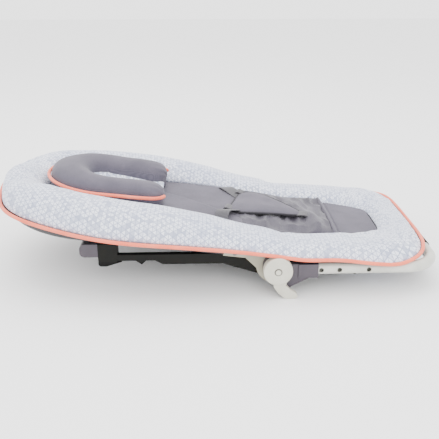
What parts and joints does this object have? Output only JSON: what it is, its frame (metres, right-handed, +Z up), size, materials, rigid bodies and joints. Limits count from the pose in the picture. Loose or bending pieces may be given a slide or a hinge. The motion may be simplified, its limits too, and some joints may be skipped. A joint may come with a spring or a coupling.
{
  "type": "folding baby bouncer seat",
  "caption": "Folding baby bouncer seat with a padded ring, reclining backrest, head pillow, harness pad and two leg frames that fold under it on one hub axis.",
  "frame": {"origin": "under the middle of the folded seat, level with its lowest point, the tips of the two levers", "axes": "+X towards the foot end, +Y to the sitting child's left, +Z up"},
  "size_m": [0.8562, 0.465, 0.2078],
  "materials": {
    "frame_steel": "satin powder coat",
    "grey_tube": "satin paint",
    "grey_plastic": "fine texture",
    "dark_steel": "dark plated",
    "washer_plastic": "smooth",
    "dark_grey_plastic": "fine texture",
    "black_plastic": "fine texture",
    "black_rubber": "matte",
    "light_plastic": "fine texture",
    "printed_jersey": "soft jersey with a small grey print",
    "coral_satin": "satin cord cover",
    "grey_webbing": "woven webbing",
    "underside_fabric": "plain weave",
    "dark_fabric": "plain weave with a slight sheen"
  },
  "bodies": {
    "seat": {"seat_tube": "frame_steel", "seat_bracket_left": "grey_plastic", "seat_bracket_right": "grey_plastic", "hub_pin_left": "dark_steel", "hub_pin_right": "dark_steel", "hub_washers_left": "washer_plastic", "hub_washers_right": "washer_plastic", "seat_bolster": "printed_jersey", "hip_bolster_left": "printed_jersey", "hip_bolster_right": "printed_jersey", "seat_insert": "dark_fabric", "hip_fabric": "dark_fabric", "seat_sling": "underside_fabric", "seat_piping": "coral_satin", "crotch_pad": "dark_fabric", "crotch_strap": "grey_webbing"},
    "backrest": {"backrest_tube": "frame_steel", "backrest_bracket_left": "grey_plastic", "backrest_bracket_right": "grey_plastic", "backrest_rivets": "dark_steel", "backrest_bolster": "printed_jersey", "backrest_insert": "dark_fabric", "backrest_sling": "underside_fabric", "backrest_piping": "coral_satin", "head_pillow": "dark_fabric", "waist_strap_left": "grey_webbing", "waist_strap_right": "grey_webbing"},
    "front_leg": {"front_leg_tube": "grey_tube", "leg_socket_left": "dark_grey_plastic", "leg_socket_right": "dark_grey_plastic", "leg_rivets": "dark_steel", "front_foot_grip_left": "black_rubber", "front_foot_grip_right": "black_rubber"},
    "rear_leg": {"rear_arm_left": "black_plastic", "rear_arm_right": "black_plastic", "rear_corner_left": "black_plastic", "rear_corner_right": "black_plastic", "rear_crossbar": "dark_grey_plastic", "rear_foot_left": "black_rubber", "rear_foot_right": "black_rubber"},
    "lever_left": {"lever_left": "light_plastic", "lever_cap_left": "light_plastic", "lever_spring_left": "dark_steel"},
    "lever_right": {"lever_right": "light_plastic", "lever_cap_right": "light_plastic", "lever_spring_right": "dark_steel"}
  },
  "joints": [
    {"name": "backrest_recline", "type": "hinge", "parent": "seat", "child": "backrest", "pos_m": [0.115, 0, 0.056], "axis": [0, 1, 0], "range_deg": [0, 45], "deforming": ["hip_bolster_left", "hip_bolster_right", "hip_fabric", "crotch_pad"]},
    {"name": "front_leg_fold", "type": "hinge", "parent": "seat", "child": "front_leg", "pos_m": [0.115, 0, 0.056], "axis": [0, 1, 0], "range_deg": [0, 55]},
    {"name": "rear_leg_fold", "type": "hinge", "parent": "seat", "child": "rear_leg", "pos_m": [0.115, 0, 0.056], "axis": [0, -1, 0], "range_deg": [0, 45]},
    {"name": "lever_left_pull", "type": "hinge", "parent": "seat", "child": "lever_left", "pos_m": [0.115, 0.2145, 0.056], "axis": [0, 1, 0], "range_deg": [0, 30], "stiffness_Nm_per_rad": 0.5, "springref_deg": -22.92},
    {"name": "lever_right_pull", "type": "hinge", "parent": "seat", "child": "lever_right", "pos_m": [0.115, -0.2145, 0.056], "axis": [0, 1, 0], "range_deg": [0, 30], "stiffness_Nm_per_rad": 0.5, "springref_deg": -22.92}
  ]
}
